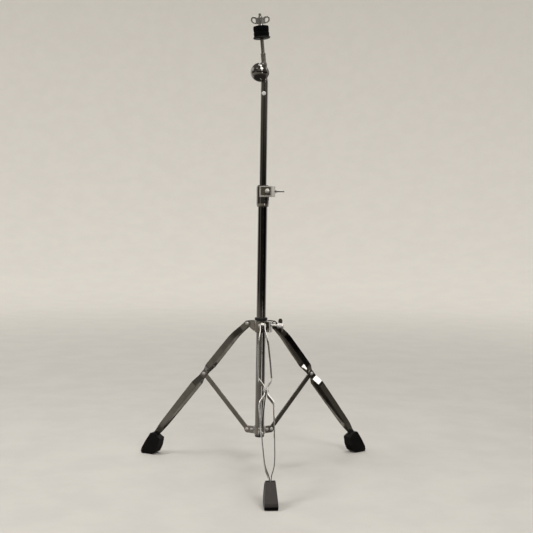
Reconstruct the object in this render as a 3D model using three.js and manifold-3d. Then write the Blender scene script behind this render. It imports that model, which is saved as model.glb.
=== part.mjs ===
// Straight cymbal stand: telescoping tube on a folding tripod with double-strip legs.
// Millimetres, +Z up. The origin is the bottom centre of the whole stand's box, on the floor.
// The tube axis stands AXIS_Y behind it, and the front leg points along -Y.
import * as THREE from 'three';
import { mergeVertices } from 'three/addons/utils/BufferGeometryUtils.js';
import Module from 'manifold-3d';

const wasm = await Module();
wasm.setup();

// ---------------------------------------------------------------- driving sizes
const AXIS_Y = 83.9;              // tube axis, measured from the box's centre
const GAP = 0.3;                  // between pieces that touch

// tubes
const BASE_R = 12.7, BASE_WALL = 1.2, BASE_Z0 = 90, BASE_Z1 = 722;
const UP_R = 9.525, UP_WALL = 1.2, UP_Z0 = 530, UP_Z1 = 1026;

// legs: plane of each leg is r (outwards) by z
const LEG_AZ = { front: -90, right: 30, left: 150 };
const HINGE = [38, 387.5];        // leg hinge on the sliding collar
const KNEE = [77.3, 352.9];       // slight bend below the hinge
const MID = [169.5, 241.4];       // rivet at the pinch, where the strut meets the leg
const STRIP_W = 16, STRIP_T = 2.4;
// distance down the leg from the hinge, and the middle of the strip's thickness from the leg's plane
const BOW = [[-8, 6.3], [22, 6.3], [48, 11.1], [62, 12.8], [116, 15.2], [168, 16.3],
  [188, 3.3], [210, 3.3], [232, 18.2], [300, 16.4], [375, 13.2], [402, 11.2], [430, 1.4], [456, 1.4]];
const RIVET_R = 3, RIVET_HOLE_R = 3.4;

// struts and lower collar
const PIVOT = [36, 102];          // strut pivot on the lower collar
const STRUT_W = 13, STRUT_T = 3;
const PLATE_T = 2, PLATE_IN = 2.0, PLATE_R = 44, PLATE_Z0 = 93, PLATE_Z1 = 113;

// sliding leg collar
const COLLAR_Z0 = 367, COLLAR_Z1 = 398.4, COLLAR_R = 17.5, COLLAR_BORE = 14.95;
const LUG_HALF = 4.8;
const BOLT_AZ = -30, BOLT_Z = 386.8;

// height clamp
const CLAMP_AZ = -34.7, CLAMP_Z0 = 698.6, CLAMP_Z1 = 753.5, CLAMP_EAR_Z0 = 725, CLAMP_R = 17;
const EAR_HALF = 13, EAR_FACE = 17.2, FRAME_DEEP = 1.2, EAR_NEAR = 36, EAR_FAR = 31, SLIT_HALF = 1.5;
const CLAMP_BOLT_S = 22.5, CLAMP_BOLT_Z = 740;

// tilter
const RATCHET_AZ = -139.7, PIVOT_Z = 1049;
const KNOB_R = 25, KNOB_BALL = 24.6, KNOB_D = 18;
const LEAN = 2.4;                 // about the ratchet's axis
const CRANK = 5.5;                // of the rod towards the knob

// ---------------------------------------------------------------- geometry helpers
const rad = (d) => d * Math.PI / 180;

function closed(geometry) {
  const g = geometry.clone();
  for (const k of ['normal', 'uv', 'uv1', 'color']) if (g.attributes[k]) g.deleteAttribute(k);
  const m = mergeVertices(g, 1e-4);
  const p = m.attributes.position, ix = m.index.array, keep = [];
  for (let i = 0; i < ix.length; i += 3) {
    const [a, b, c] = [ix[i], ix[i + 1], ix[i + 2]];
    if (a !== b && b !== c && a !== c) keep.push(a, b, c);
  }
  let vol = 0;
  const v = (i) => new THREE.Vector3().fromBufferAttribute(p, i);
  for (let i = 0; i < keep.length; i += 3) vol += v(keep[i]).dot(v(keep[i + 1]).cross(v(keep[i + 2])));
  if (vol < 0) for (let i = 0; i < keep.length; i += 3) [keep[i + 1], keep[i + 2]] = [keep[i + 2], keep[i + 1]];
  m.setIndex(keep);
  return m;
}

function solid(geometry) {
  const m = closed(geometry);
  return new wasm.Manifold(new wasm.Mesh({
    numProp: 3,
    vertProperties: new Float32Array(m.attributes.position.array),
    triVerts: new Uint32Array(m.index.array),
  }));
}

function geometryOf(manifold) {
  const m = manifold.getMesh();
  const g = new THREE.BufferGeometry();
  g.setAttribute('position', new THREE.BufferAttribute(new Float32Array(m.vertProperties), 3));
  g.setIndex(new THREE.BufferAttribute(new Uint32Array(m.triVerts), 1));
  return g;
}

const join = (first, ...rest) => rest.reduce((a, b) => a.add(b), first);
const cut = (first, ...rest) => rest.reduce((a, b) => a.subtract(b), first);

function moved(geometry, { at = [0, 0, 0], rx = 0, ry = 0, rz = 0 } = {}) {
  const e = new THREE.Euler(rad(rx), rad(ry), rad(rz), 'ZYX');
  const m = new THREE.Matrix4().makeRotationFromEuler(e).setPosition(...at);
  return geometry.clone().applyMatrix4(m);
}

// turned piece about Z: profile is [radius, height] pairs
function turned(profile, segments = 24) {
  const pts = profile.map(([r, z]) => new THREE.Vector2(r, z));
  return new THREE.LatheGeometry(pts, segments).rotateX(Math.PI / 2);
}
const ring = (r0, r1, z0, z1, seg = 24) => turned([[r0, z0], [r1, z0], [r1, z1], [r0, z1], [r0, z0]], seg);
const rod = (r, z0, z1, seg = 20) => turned([[0, z0], [r, z0], [r, z1], [0, z1]], seg);
const box = (x0, x1, y0, y1, z0, z1) =>
  new THREE.BoxGeometry(x1 - x0, y1 - y0, z1 - z0).translate((x0 + x1) / 2, (y0 + y1) / 2, (z0 + z1) / 2);

// flat outline [x, y] extruded from z0 to z1, with optional round holes [x, y, r]
function plate(outline, z0, z1, holes = [], curve = 5) {
  const s = new THREE.Shape(outline.map(([x, y]) => new THREE.Vector2(x, y)));
  for (const [x, y, r] of holes) {
    const h = new THREE.Path();
    h.absarc(x, y, r, 0, Math.PI * 2, true);
    s.holes.push(h);
  }
  return new THREE.ExtrudeGeometry(s, { depth: z1 - z0, bevelEnabled: false, curveSegments: curve }).translate(0, 0, z0);
}
// the same outline given in the leg's plane [r, z], extruded across it from y0 to y1
function cheek(outline, y0, y1, holes = [], curve = 5) {
  return plate(outline, -y1, -y0, holes, curve).rotateX(Math.PI / 2);
}
const arc = (cx, cy, r, a0, a1, n) =>
  Array.from({ length: n + 1 }, (_, i) => [cx + r * Math.cos(rad(a0 + (a1 - a0) * i / n)), cy + r * Math.sin(rad(a0 + (a1 - a0) * i / n))]);

// round rod across the leg's plane (axis Y) at r, z
const across = (r, y0, y1, at, seg = 12) => moved(rod(r, -y1, -y0, seg), { rx: 90, at: [at[0], 0, at[1]] });

// ---------------------------------------------------------------- materials
const steel = (name, color, roughness = 0.16) =>
  new THREE.MeshStandardMaterial({ name, color, roughness, metalness: 1 });
const dull = (name, color, roughness) =>
  new THREE.MeshStandardMaterial({ name, color, roughness, metalness: 0 });
const MAT = {
  tube: () => steel('chrome_tube', 0xb9b6b0, 0.12),
  strip: () => steel('chrome_strip', 0xaeaaa2, 0.2),
  cast: () => steel('chrome_cast', 0xb2aea6, 0.18),
  rivet: () => steel('rivet', 0xc4c0b8, 0.25),
  screw: () => steel('plated_screw', 0xb5b0a4, 0.3),
  nylon: () => dull('nylon', 0x111111, 0.5),
  rubber: () => dull('rubber', 0x17161a, 0.75),
  felt: () => dull('felt', 0x08080a, 0.95),
};

const stand = new THREE.Group();
const tower = new THREE.Group();
tower.position.y = AXIS_Y;
stand.add(tower);

function piece(parent, name, shape, material) {
  const g = shape.getMesh ? geometryOf(shape) : closed(shape);
  g.computeVertexNormals();
  const mesh = new THREE.Mesh(g, material);
  mesh.name = name;
  parent.add(mesh);
  return mesh;
}
function turnedGroup(parent, az, at = [0, 0, 0]) {
  const g = new THREE.Group();
  g.position.set(...at);
  g.rotation.z = rad(az);
  parent.add(g);
  return g;
}

// ---------------------------------------------------------------- base tube, plug
piece(tower, 'base_tube', ring(BASE_R - BASE_WALL, BASE_R, BASE_Z0, BASE_Z1), MAT.tube());
piece(tower, 'base_tube_plug',
  turned([[0, 85.5], [11.6, 85.5], [12.7, 86.6], [12.7, 89.7], [11.1, 89.7], [11.1, 108], [9, 108], [9, 91.5], [0, 91.5]], 20),
  MAT.nylon());

// ---------------------------------------------------------------- lower collar: three pressed plates
{
  const rIn = BASE_R + GAP, rOut = rIn + PLATE_T, inner = PLATE_IN, outer = PLATE_IN + PLATE_T;
  // one plate spans from the leg at 0 degrees to the leg at 120 degrees
  const lugA = [[PLATE_R, inner], [PLATE_R, outer]];
  const turn = (p, a) => [p[0] * Math.cos(rad(a)) - p[1] * Math.sin(rad(a)), p[0] * Math.sin(rad(a)) + p[1] * Math.cos(rad(a))];
  const a0in = Math.asin(inner / rIn) * 180 / Math.PI, a0out = Math.asin(outer / rOut) * 180 / Math.PI + 6;
  const innerArc = arc(0, 0, rIn, 120 - a0in, a0in, 8);
  const outerArc = arc(0, 0, rOut, a0out, 120 - a0out, 6);
  const lugB = [turn([PLATE_R, -outer], 120), turn([PLATE_R, -inner], 120)];
  const outline = [...lugA, [rOut + 3, outer], ...outerArc, turn([rOut + 3, -outer], 120), ...lugB, ...innerArc];
  const names = ['a', 'b', 'c'];
  const azs = [LEG_AZ.front, LEG_AZ.right, LEG_AZ.left];
  // rounded corners and rivet holes in the lugs, as a tool in each leg's plane
  const window_ = (az) => {
    const keep = [[0, PLATE_Z0], [PLATE_R - 7, PLATE_Z0], ...arc(PLATE_R - 8, PLATE_Z0 + 9, 9, -80, 60, 5),
      [PLATE_R - 12, PLATE_Z1], [0, PLATE_Z1]];
    return moved(cheek(keep, -14, 14), { rz: az });
  };
  azs.forEach((az, k) => {
    let body = solid(moved(plate(outline, PLATE_Z0, PLATE_Z1), { rz: az }));
    const next = azs[(k + 1) % 3];
    const shell = join(solid(ring(6, rOut + 2, PLATE_Z0, PLATE_Z1, 16)), solid(window_(az)), solid(window_(next)));
    body = body.intersect(shell);
    for (const a of [az, next]) {
      body = cut(body,
        solid(moved(across(RIVET_HOLE_R, -12, 12, PIVOT, 10), { rz: a })),
        solid(moved(across(RIVET_HOLE_R, -12, 12, [22, 103], 10), { rz: a })));
    }
    piece(tower, `strut_collar_plate_${names[k]}`, body, MAT.cast());
  });
}

// domed rivet through a stack of half-thickness h (axis Z)
const rivetProfile = (h, head = 4.8, dome = 2.4, shank = RIVET_R) =>
  [[0, -h - dome], [head * 0.7, -h - dome * 0.75], [head, -h], [shank, -h],
    [shank, h], [head, h], [head * 0.7, h + dome * 0.75], [0, h + dome]];
const AZS = [LEG_AZ.front, LEG_AZ.right, LEG_AZ.left];
// one rivet of a kind for each leg
function rivets(kind, h, at, head, dome) {
  for (const [name, az] of Object.entries(LEG_AZ)) {
    piece(turnedGroup(tower, az), `${kind}_${name}`, moved(turned(rivetProfile(h, head, dome), 12), { rx: 90, at: [at[0], 0, at[1]] }), MAT.rivet());
  }
}
rivets('strut_collar_rivet', PLATE_IN + PLATE_T + GAP, [22, 103], 4.2, 1.8);
rivets('strut_pivot_rivet', PLATE_IN + PLATE_T + GAP, PIVOT, 4.8, 2.4);

// ---------------------------------------------------------------- struts
for (const [name, az] of Object.entries(LEG_AZ)) {
  const g = turnedGroup(tower, az);
  const dir = Math.atan2(MID[1] - PIVOT[1], MID[0] - PIVOT[0]) * 180 / Math.PI;
  const outline = [...arc(MID[0], MID[1], STRUT_W / 2, dir - 90, dir + 90, 6), ...arc(PIVOT[0], PIVOT[1], STRUT_W / 2, dir + 90, dir + 270, 6)];
  piece(g, `strut_${name}`, cheek(outline, -STRUT_T / 2, STRUT_T / 2,
    [[MID[0], MID[1], RIVET_HOLE_R], [PIVOT[0], PIVOT[1], RIVET_HOLE_R]]), MAT.strip());
}

// ---------------------------------------------------------------- legs
const U1 = (() => { const d = [KNEE[0] - HINGE[0], KNEE[1] - HINGE[1]], l = Math.hypot(...d); return { x: d[0] / l, z: d[1] / l, l }; })();
const U2 = (() => { const d = [MID[0] - KNEE[0], MID[1] - KNEE[1]], l = Math.hypot(...d); return { x: d[0] / l, z: d[1] / l, l }; })();
// centre line of the leg and its normal (towards the outside, upwards) at a distance s from the hinge
const BEND = 14;
function spine(s) {
  if (s < U1.l - BEND) return { r: HINGE[0] + U1.x * s, z: HINGE[1] + U1.z * s, nr: -U1.z, nz: U1.x };
  if (s > U1.l + BEND) { const t = s - U1.l; return { r: KNEE[0] + U2.x * t, z: KNEE[1] + U2.z * t, nr: -U2.z, nz: U2.x }; }
  const t = (s - (U1.l - BEND)) / (2 * BEND);
  const a = [KNEE[0] - U1.x * BEND, KNEE[1] - U1.z * BEND], c = [KNEE[0] + U2.x * BEND, KNEE[1] + U2.z * BEND];
  const q = (i) => (1 - t) * (1 - t) * a[i] + 2 * t * (1 - t) * KNEE[i] + t * t * c[i];
  const dx = (1 - t) * U1.x + t * U2.x, dz = (1 - t) * U1.z + t * U2.z, l = Math.hypot(dx, dz);
  return { r: q(0), z: q(1), nr: -dz / l, nz: dx / l };
}

// one bowed flat strip; side is +1 or -1 across the leg's plane
function strip(side) {
  // stations: extra ones round the hinge end and through the knee
  const at = new Map(BOW.map(([s, o]) => [s, o]));
  const offset = (s) => {
    for (let i = 1; i < BOW.length; i++) if (s <= BOW[i][0]) {
      const [a, b] = [BOW[i - 1], BOW[i]], t = (s - a[0]) / (b[0] - a[0]);
      return a[1] + (b[1] - a[1]) * t;
    }
    return BOW[BOW.length - 1][1];
  };
  for (const s of [-7.4, -5.6, -2.6, 0.6, U1.l - BEND + 2, U1.l]) if (!at.has(s)) at.set(s, offset(s));
  const line = [...at.entries()].sort((a, b) => a[0] - b[0]);
  const half = (s) => (s < 0 ? Math.max(1.6, Math.sqrt(Math.max(0, 64 - s * s))) : STRIP_W / 2);
  const verts = [], tris = [];
  const n = line.length;
  for (let i = 0; i < n; i++) {
    const dirs = [];
    if (i > 0) dirs.push([line[i][0] - line[i - 1][0], line[i][1] - line[i - 1][1]]);
    if (i < n - 1) dirs.push([line[i + 1][0] - line[i][0], line[i + 1][1] - line[i][1]]);
    const unit = dirs.map((d) => { const l = Math.hypot(...d); return [d[0] / l, d[1] / l]; });
    let m = unit.reduce((a, d) => [a[0] - d[1], a[1] + d[0]], [0, 0]);
    const l = Math.hypot(...m); m = [m[0] / l, m[1] / l];
    const k = (STRIP_T / 2) / (m[0] * -unit[0][1] + m[1] * unit[0][0]);
    const w = half(line[i][0]);
    for (const [kk, ww] of [[-k, -w], [-k, w], [k, w], [k, -w]]) {
      const s = line[i][0] + m[0] * kk, o = line[i][1] + m[1] * kk, c = spine(s);
      verts.push(c.r + c.nr * ww, side * o, c.z + c.nz * ww);
    }
  }
  for (let i = 0; i < n - 1; i++) for (let j = 0; j < 4; j++) {
    const a = i * 4 + j, b = i * 4 + (j + 1) % 4, c = a + 4, d = b + 4;
    tris.push(a, c, b, b, c, d);
  }
  tris.push(0, 1, 2, 0, 2, 3);
  const e = (n - 1) * 4;
  tris.push(e, e + 2, e + 1, e, e + 3, e + 2);
  const g = new THREE.BufferGeometry();
  g.setAttribute('position', new THREE.BufferAttribute(new Float32Array(verts), 3));
  g.setIndex(tris);
  const hole = (p) => solid(across(RIVET_HOLE_R, side > 0 ? 0 : -30, side > 0 ? 30 : 0, p, 10));
  return cut(solid(g), hole(HINGE), hole(MID));
}

// rubber boot: side outline, narrower at the top, with a pocket for the strips
const BOOT = [[304, 46], [325, 60.5], [335.5, 59.5], [350.5, 36], [361, 16], [363.5, 8], [362.2, 1.4], [357, 0], [329, 0], [319, 6], [310, 23]];
function boot() {
  const side = solid(cheek(BOOT, -16.4, 16.4));
  const taper = [[-15.4, -1], [-16.2, 6], [-15.6, 20], [-11.2, 62], [11.2, 62], [15.6, 20], [16.2, 6], [15.4, -1]];
  // the taper is drawn looking outwards along the leg
  const wedge = solid(plate(taper, 290, 370).rotateX(Math.PI / 2).rotateZ(Math.PI / 2));
  const c = spine(430);
  const angle = Math.atan2(-U2.z, U2.x) * 180 / Math.PI;
  const pocket = solid(moved(box(-40, 27.5, -3.1, 3.1, -8.5, 8.5), { ry: angle, at: [c.r, 0, c.z] }));
  return cut(side.intersect(wedge), pocket);
}

for (const [name, az] of Object.entries(LEG_AZ)) {
  const g = turnedGroup(tower, az);
  piece(g, `leg_${name}_strip_a`, strip(1), MAT.strip());
  piece(g, `leg_${name}_strip_b`, strip(-1), MAT.strip());
  // the rivet's two heads, each with a stub in its strip; the space between is left for the strut
  const out = 3.3 + STRIP_T / 2, face = out + GAP;
  const head = (s) => moved(turned([[0, out - STRIP_T + 0.3], [RIVET_R, out - STRIP_T + 0.3], [RIVET_R, face], [5, face],
    [3.9, face + 1.7], [0, face + 2.6]], 12), { rx: s > 0 ? -90 : 90, at: [MID[0], 0, MID[1]] });
  piece(g, `leg_${name}_rivet_a`, head(1), MAT.rivet());
  piece(g, `leg_${name}_rivet_b`, head(-1), MAT.rivet());
  piece(g, `leg_${name}_foot`, boot(), MAT.rubber());
}

// ---------------------------------------------------------------- sliding leg collar
{
  let c = solid(turned([[0, COLLAR_Z0], [COLLAR_R - 0.8, COLLAR_Z0], [COLLAR_R, COLLAR_Z0 + 1], [COLLAR_R, COLLAR_Z1 - 2],
    [COLLAR_R - 1.2, COLLAR_Z1], [0, COLLAR_Z1]]));
  const lug = [[8, COLLAR_Z0 + 1], [20, COLLAR_Z0 + 2], [34, 379], ...arc(HINGE[0], HINGE[1], 8.5, -65, 75, 5), [26, COLLAR_Z1 - 0.8], [8, COLLAR_Z1 - 0.8]];
  for (const az of AZS) c = c.add(solid(moved(cheek(lug, -LUG_HALF, LUG_HALF), { rz: az })));
  const boss = [[8, -8.5], [27, -8.5], [30.5, -5.5], [30.5, 5.5], [27, 8.5], [8, 8.5]];
  c = c.add(solid(moved(plate(boss, COLLAR_Z0 + 1.2, COLLAR_Z1 - 2.4), { rz: BOLT_AZ })));
  c = c.subtract(solid(rod(COLLAR_BORE, 300, 450, 24)));
  for (const az of AZS) c = c.subtract(solid(moved(across(RIVET_HOLE_R, -20, 20, HINGE, 10), { rz: az })));
  c = c.subtract(solid(moved(rod(3.5, 6, 60, 12), { ry: 90, rz: BOLT_AZ, at: [0, 0, BOLT_Z] })));
  piece(tower, 'leg_collar', c, MAT.cast());
}
piece(tower, 'leg_collar_bush',
  turned([[13.05, COLLAR_Z0 - 1], [14.6, COLLAR_Z0 - 1], [14.6, COLLAR_Z1 + GAP], [17, COLLAR_Z1 + GAP], [17, 404.4], [16, 405.4], [13.05, 405.4], [13.05, COLLAR_Z0 - 1]]),
  MAT.nylon());
rivets('leg_hinge_rivet', 6.3 + STRIP_T / 2 + GAP, HINGE, 5, 2.6);

// wing bolt: axis X in its own group, from the collar outwards
{
  const g = turnedGroup(tower, BOLT_AZ, [0, 0, BOLT_Z]);
  const shaft = solid(moved(turned([[0, 15.1], [2.4, 15.1], [3, 16], [3, 46], [5.2, 48], [7, 50.5], [7, 58], [6, 64.5], [0, 66]], 14), { ry: 90 }));
  const ear = [[51, 0], [50.5, 8], [51.2, 15], [53, 18.4], [56.6, 19.4], [60, 18.2], [61.6, 14.6], [61.8, 7], [62, 0]];
  const ears = [...ear, ...ear.slice(1, -1).reverse().map(([x, z]) => [x, -z])];
  piece(g, 'collar_wing_bolt', shaft.add(solid(cheek(ears, -2, 2))), MAT.screw());
}

// ---------------------------------------------------------------- height clamp, on top of the base tube
{
  const g = turnedGroup(tower, CLAMP_AZ);
  let c = solid(turned([[0, CLAMP_Z0], [15.2, CLAMP_Z0], [16.4, CLAMP_Z0 + 4], [CLAMP_R, CLAMP_Z0 + 9], [CLAMP_R, CLAMP_Z1 - 1.5], [CLAMP_R - 1.2, CLAMP_Z1], [0, CLAMP_Z1]]));
  const nearEar = [[-1.4, -EAR_FACE + 1], [0, -EAR_FACE], [EAR_NEAR - 1.5, -EAR_FACE], [EAR_NEAR, -EAR_FACE + 1.5], [EAR_NEAR, -SLIT_HALF], [-1.4, -SLIT_HALF]];
  const farEar = [[0, SLIT_HALF], [EAR_FAR, SLIT_HALF], [EAR_FAR, EAR_HALF - 2], [EAR_FAR - 2, EAR_HALF], [0, EAR_HALF]];
  c = join(c, solid(plate(nearEar, CLAMP_EAR_Z0, CLAMP_Z1)), solid(plate(farEar, CLAMP_EAR_Z0, CLAMP_Z1)));
  c = cut(c,
    solid(rod(BASE_R + GAP + 0.05, 650, BASE_Z1 + GAP, 24)),
    solid(rod(12.8, 700, 800, 24)),
    solid(box(6, 60, -SLIT_HALF, SLIT_HALF, 716, 800)),
    solid(moved(rod(3.5, -40, 40, 12), { rx: 90, at: [CLAMP_BOLT_S, 0, CLAMP_BOLT_Z] })),
    // shallow frame sunk into the near ear's face
    solid(box(2.4, EAR_NEAR - 3, -EAR_FACE - 5, -EAR_FACE + FRAME_DEEP, CLAMP_EAR_Z0 + 3.2, CLAMP_Z1 - 3.2)));
  piece(g, 'height_clamp', c, MAT.cast());

  // bolt: low domed head in the near ear's frame, shaft through both ears
  const h = turnedGroup(g, 0, [CLAMP_BOLT_S, 0, CLAMP_BOLT_Z]);
  const zHead = EAR_FACE - FRAME_DEEP + GAP;
  piece(h, 'height_clamp_bolt', moved(turned([[0, zHead + 4.6], [3.6, zHead + 4.2], [5.6, zHead + 2.9], [6.6, zHead], [3, zHead], [3, -34], [2.2, -35.2], [0, -35.2]], 12), { rx: 90 }), MAT.screw());

  // wing nut on the far side: axis +Y of the clamp's group
  const wing = [[4, 15.5], [9, 16], [15, 19.5], [21, 24], [25, 29.5], [24.6, 33.4], [21.6, 35], [18, 33.6], [13, 29.6], [8, 26.6], [4, 26]];
  const wings = [wing, wing.map(([x, y]) => [-x, y]).reverse()].map((w) => solid(plate(w, -1.8, 1.8)));
  const bore = solid(moved(rod(3.5, -60, 0, 12), { rx: 90 }));
  const body = cut(join(solid(moved(turned([[0, -13.4], [8.2, -13.4], [8.2, -15.4], [6.6, -17.5], [5.2, -28.4], [0, -28.4]], 14), { rx: 90 })), ...wings), bore);
  piece(h, 'height_wing_nut', body, MAT.screw());
}
piece(tower, 'height_bush',
  turned([[9.85, BASE_Z1 + 1.2], [12.4, BASE_Z1 + 1.2], [12.4, CLAMP_Z1 + GAP], [14.2, CLAMP_Z1 + GAP], [14.2, CLAMP_Z1 + 1.6], [13.2, CLAMP_Z1 + 2.4], [9.85, CLAMP_Z1 + 2.4], [9.85, BASE_Z1 + 1.2]]),
  MAT.nylon());

// ---------------------------------------------------------------- upper tube and tilter
{
  const pinZ = 994.6, pinAz = -102;
  const hole = (r) => solid(moved(rod(r, -30, 30, 10), { ry: 90, rz: pinAz, at: [0, 0, pinZ] }));
  piece(tower, 'upper_tube', cut(solid(ring(UP_R - UP_WALL, UP_R, UP_Z0, UP_Z1)), hole(2.8)), MAT.tube());

  // lower casting: spigot in the tube, stem, and the rear half of the ratchet (axis X of the group)
  const g = turnedGroup(tower, RATCHET_AZ, [0, 0, PIVOT_Z]);
  const pinLocal = (r) => solid(moved(rod(r, -30, 30, 10), { ry: 90, rz: pinAz - RATCHET_AZ, at: [0, 0, pinZ - PIVOT_Z] }));
  const disc = (r, x0, x1, seg = 24) => solid(moved(rod(r, x0, x1, seg), { ry: 90 }));
  const t = UP_Z1 - PIVOT_Z;
  let low = solid(turned([[0, t - 46], [7.4, t - 46], [8, t - 44], [8, t + GAP], [UP_R, t + GAP], [UP_R, t + 5], [8.4, t + 9], [8.4, -8.6], [7.2, -7.4], [0, -7.4]]));
  low = join(low, disc(14, -3.4, 5));
  // flat relief behind the turning half
  low = cut(low, pinLocal(2.8), disc(4.3, -20, 20, 12), solid(box(5, 20, -20, 20, -20.6, 10)));
  piece(g, 'tilter_base', low, MAT.cast());
  // cross pin with a round head on the front of the tube
  piece(tower, 'tilter_pin', moved(turned([[0, -UP_R - 0.9], [2.3, -UP_R - 0.9], [2.5, -UP_R - 0.4], [2.5, UP_R + GAP + 0.25], [5.6, UP_R + GAP + 0.25], [5.6, UP_R + 1.7], [4.2, UP_R + 3], [0, UP_R + 3.3]], 12),
    { ry: 90, rz: pinAz, at: [0, 0, pinZ] }), MAT.rivet());
  piece(g, 'tilter_pivot_bolt', moved(turned([[0, -7.4], [5.4, -7], [6.8, -3.7], [4, -3.7], [4, 24], [0, 24]], 12), { ry: 90 }), MAT.screw());

  // domed clamping knob in front: a ball cap on a short rim, with a hub for the bolt and a groove behind
  const dome = arc(KNOB_D, 0, KNOB_BALL, 0, 90, 9).map(([d, r]) => [r, d]).reverse();
  piece(g, 'tilter_knob', moved(turned([[0, 24.6], [4.3, 24.6], [4.3, 13.4], [9, 13.4], [9, 25], [19.4, 25], [20.6, 13.4],
    [KNOB_R - 1.2, 13.4], [KNOB_R, 14.6], [KNOB_R, 17.4], ...dome], 30), { ry: 90 }), MAT.cast());

  // leaning head: pivot at its origin; the rod and all on it stand along the Z of its cranked group
  const head = new THREE.Group();
  head.position.z = PIVOT_Z;
  head.rotation.order = 'ZYX';
  head.rotation.z = rad(RATCHET_AZ);
  head.rotation.x = rad(LEAN);
  tower.add(head);
  const spindle = new THREE.Group();
  spindle.rotation.y = rad(CRANK);
  head.add(spindle);
  const plateDisc = disc(20, 5.4, 13);
  const neck = solid(plate([[-3.6, 16.6], [-3.6, 22], [-2.2, 28], [7.4, 28], [8.8, 22], [11.2, 17.5], [13, 12], [13, 0], [5.4, 0], [5.4, 16.6]], -5.8, 5.8).rotateX(Math.PI / 2));
  const ferrule = solid(moved(turned([[0, 22.5], [5, 22.5], [6.7, 25], [6.7, 47.4], [7.1, 48.4], [7.1, 51], [0, 51]], 20), { ry: CRANK }));
  let up = join(plateDisc, neck, ferrule);
  up = cut(up, disc(4.3, 0, 20, 12), solid(moved(rod(5.3, 31.7, 60, 20), { ry: CRANK })));
  piece(head, 'tilter_head', up, MAT.cast());

  piece(spindle, 'cymbal_rod', turned([[0, 32], [5, 32], [5, 88.2], [4, 88.2], [4, 152.9], [3.2, 153.8], [0, 153.8]], 16), MAT.tube());
  piece(spindle, 'cup_washer', turned([[4.4, 88.5], [19.4, 88.5], [21.4, 89.1], [22.2, 90.2], [22.2, 92.9], [21.1, 92.9], [20.9, 91.7], [19.8, 90.8], [4.4, 90.8], [4.4, 88.5]], 24), MAT.tube());
  piece(spindle, 'rod_sleeve', turned([[4.4, 91.1], [9, 91.1], [9, 91.9], [5.6, 92.1], [5.6, 120.4], [4.4, 120.4], [4.4, 91.1]], 16), MAT.nylon());
  const felt = (z) => turned([[6, z], [19.4, z], [20.4, z + 1.2], [20.4, z + 12.8], [19.4, z + 14], [6, z + 14], [6, z]], 24);
  piece(spindle, 'felt_lower', felt(92.4), MAT.felt());
  piece(spindle, 'felt_upper', felt(106.7), MAT.felt());

  // wing nut with two open loops
  const hub = turned([[0, 121], [8.2, 121], [8.2, 122.8], [6.6, 125.6], [7.2, 142.2], [5.8, 145.2], [0, 145.2]], 14);
  const loop = [[4, 127.2], [12, 126.8], [19, 128.8], [24, 132.8], [25.4, 138.2], [24, 143.6], [19, 146.6], [13, 145.6], [8, 143.2], [4, 142.2]];
  const eye = [[12.8, 131.2], [16, 131.4], [19, 133.1], [20.9, 136], [21.1, 139.4], [19, 142], [15.6, 141.6], [12.6, 139.2]];
  const looped = (m) => {
    const way = (points) => (m > 0 ? points : [...points].reverse()).map(([x, y]) => new THREE.Vector2(m * x, y));
    const s = new THREE.Shape(way(loop));
    s.holes.push(new THREE.Path(way(eye)));
    return solid(new THREE.ExtrudeGeometry(s, { depth: 3.4, bevelEnabled: false }).translate(0, 0, -1.7).rotateX(Math.PI / 2).rotateZ(rad(143)));
  };
  piece(spindle, 'felt_wing_nut', cut(join(solid(hub), looped(1), looped(-1)), solid(rod(4.4, 100, 170, 14))), MAT.screw());
}

export default stand;
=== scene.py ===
import math

import bmesh
import bpy
from mathutils import Matrix, Vector, noise

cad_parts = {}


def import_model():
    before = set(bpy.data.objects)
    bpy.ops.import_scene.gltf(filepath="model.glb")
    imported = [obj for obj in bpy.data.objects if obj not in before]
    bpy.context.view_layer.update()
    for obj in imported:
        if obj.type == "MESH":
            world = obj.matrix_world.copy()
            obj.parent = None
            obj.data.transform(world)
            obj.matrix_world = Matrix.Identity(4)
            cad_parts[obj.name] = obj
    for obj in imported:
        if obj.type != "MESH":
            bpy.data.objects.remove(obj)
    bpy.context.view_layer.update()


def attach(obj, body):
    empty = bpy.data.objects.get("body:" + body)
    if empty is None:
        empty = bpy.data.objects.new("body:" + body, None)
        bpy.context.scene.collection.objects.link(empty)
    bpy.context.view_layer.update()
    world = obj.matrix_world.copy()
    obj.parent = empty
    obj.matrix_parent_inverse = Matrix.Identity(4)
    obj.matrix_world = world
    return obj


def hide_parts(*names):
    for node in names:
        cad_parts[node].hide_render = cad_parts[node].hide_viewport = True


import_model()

MM = 0.001
AXIS_Y = 83.9
rad = math.radians


def rz(a): return Matrix.Rotation(rad(a), 4, 'Z')
def ry(a): return Matrix.Rotation(rad(a), 4, 'Y')
def rx(a): return Matrix.Rotation(rad(a), 4, 'X')
def tr(x, y, z): return Matrix.Translation((x, y, z))


TOWER = tr(0, AXIS_Y, 0)
LEG_AZ = {"front": -90, "right": 30, "left": 150}

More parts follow.
